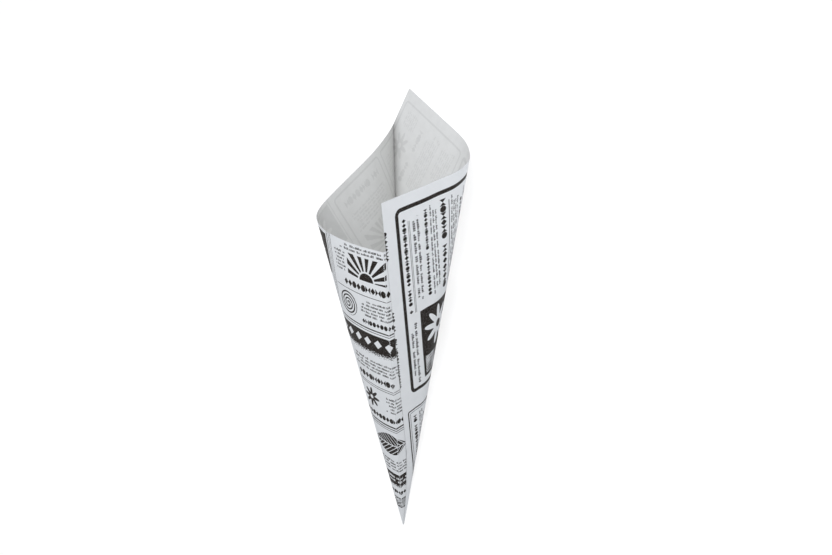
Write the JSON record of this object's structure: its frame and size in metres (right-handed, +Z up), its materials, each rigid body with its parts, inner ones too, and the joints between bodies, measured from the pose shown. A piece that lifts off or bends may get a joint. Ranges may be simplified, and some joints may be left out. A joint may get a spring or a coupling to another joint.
{
  "type": "paper fry cone",
  "caption": "Empty greaseproof paper fry cone, one newsprint-patterned sheet rolled to a point, creased front and back and glued under its outer flap.",
  "frame": {"origin": "middle of the bounding box's underside, on the surface that the cone lies on", "axes": "+Z up, square to the flat back panel that the cone lies on; +X along the cone from its tip to its mouth; the front crease and the outer flap face -Y"},
  "size_m": [0.2894, 0.1172, 0.0832],
  "materials": {
    "printed_paper": "smooth matt greaseproof paper, printed in near-black newsprint columns on the outside, plain inside"
  },
  "bodies": {
    "root": {"paper_cone": "printed_paper"}
  },
  "joints": []
}
